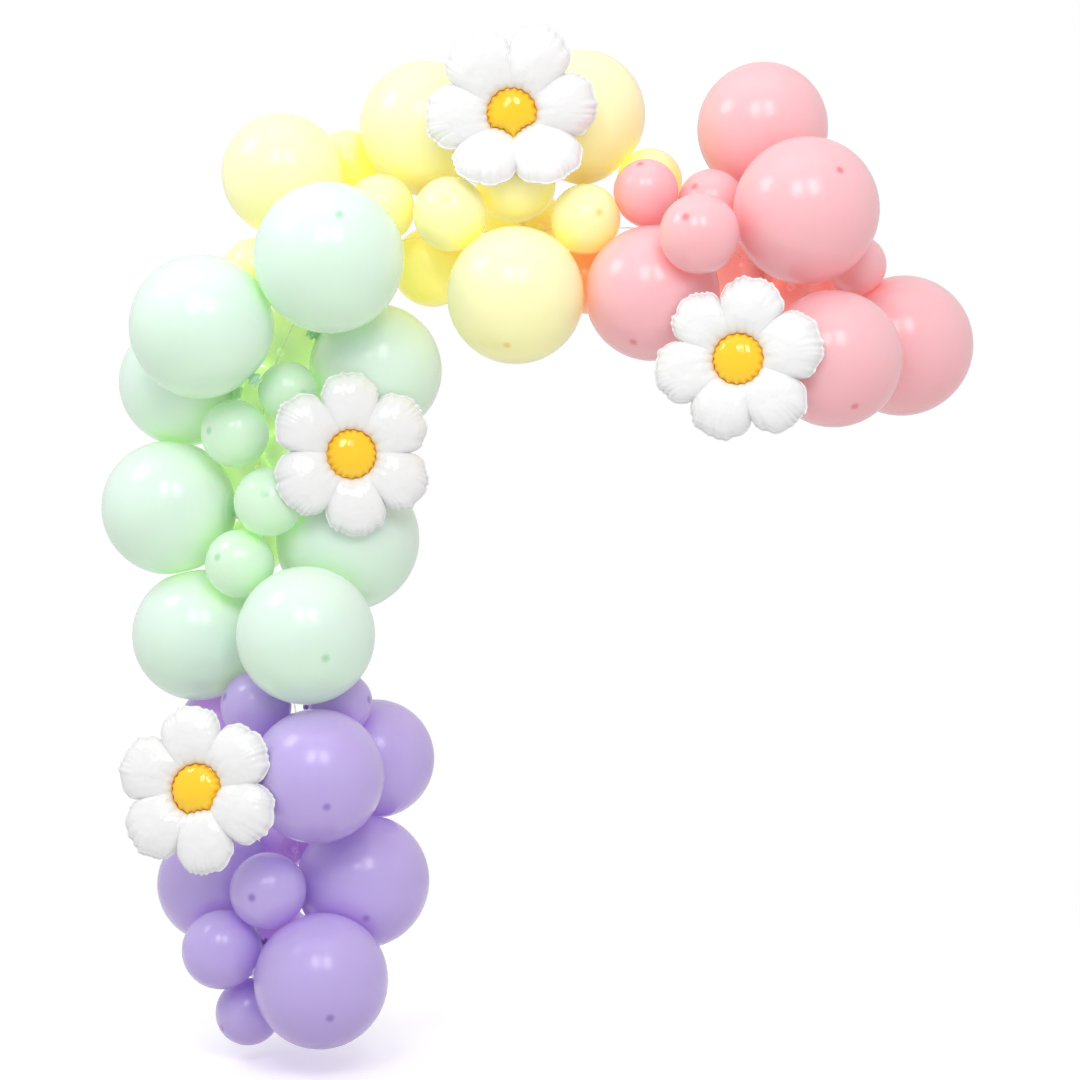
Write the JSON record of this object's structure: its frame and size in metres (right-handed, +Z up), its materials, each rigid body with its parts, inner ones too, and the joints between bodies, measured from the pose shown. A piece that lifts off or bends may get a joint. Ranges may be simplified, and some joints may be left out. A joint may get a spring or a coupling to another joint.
{
  "type": "balloon arch",
  "caption": "Half arch of pastel latex balloons in lavender, mint, yellow and pink with white foil daisies, tied to a clear strip and fixed flat to a wall as a party backdrop",
  "frame": {"origin": "middle of the flat spot where the topmost large yellow balloon rests on the wall", "axes": "+Z up, +X to the right along the wall as seen from the room, +Y into the wall, so the room lies towards -Y"},
  "size_m": [1.5084, 0.4353, 1.7077],
  "materials": {
    "lavender_latex": "satin",
    "mint_latex": "satin",
    "yellow_latex": "satin",
    "pink_latex": "satin",
    "white_foil": "pearly satin foil, with a golden yellow middle",
    "clear_strip": "clear"
  },
  "bodies": {
    "root": {"daisy_end": "white_foil", "daisy_foot": "white_foil", "daisy_side": "white_foil", "daisy_top": "white_foil", "lavender_large_1": "lavender_latex", "lavender_large_2": "lavender_latex", "lavender_large_3": "lavender_latex", "lavender_large_4": "lavender_latex", "lavender_large_5": "lavender_latex", "lavender_small_1": "lavender_latex", "lavender_small_2": "lavender_latex", "lavender_small_3": "lavender_latex", "lavender_small_4": "lavender_latex", "lavender_small_5": "lavender_latex", "lavender_small_6": "lavender_latex", "lavender_small_7": "lavender_latex", "lavender_small_8": "lavender_latex", "mint_large_1": "mint_latex", "mint_large_2": "mint_latex", "mint_large_3": "mint_latex", "mint_large_4": "mint_latex", "mint_large_5": "mint_latex", "mint_large_6": "mint_latex", "mint_large_7": "mint_latex", "mint_large_8": "mint_latex", "mint_small_1": "mint_latex", "mint_small_2": "mint_latex", "mint_small_3": "mint_latex", "mint_small_4": "mint_latex", "mint_small_5": "mint_latex", "mint_small_6": "mint_latex", "mint_small_7": "mint_latex", "mint_small_8": "mint_latex", "mint_small_9": "mint_latex", "pink_large_1": "pink_latex", "pink_large_2": "pink_latex", "pink_large_3": "pink_latex", "pink_large_4": "pink_latex", "pink_large_5": "pink_latex", "pink_small_1": "pink_latex", "pink_small_2": "pink_latex", "pink_small_3": "pink_latex", "pink_small_4": "pink_latex", "pink_small_5": "pink_latex", "pink_small_6": "pink_latex", "tying_strip": "clear_strip", "yellow_large_1": "yellow_latex", "yellow_large_2": "yellow_latex", "yellow_large_3": "yellow_latex", "yellow_large_4": "yellow_latex", "yellow_small_1": "yellow_latex", "yellow_small_10": "yellow_latex", "yellow_small_2": "yellow_latex", "yellow_small_3": "yellow_latex", "yellow_small_4": "yellow_latex", "yellow_small_5": "yellow_latex", "yellow_small_6": "yellow_latex", "yellow_small_7": "yellow_latex", "yellow_small_8": "yellow_latex", "yellow_small_9": "yellow_latex"}
  },
  "joints": []
}
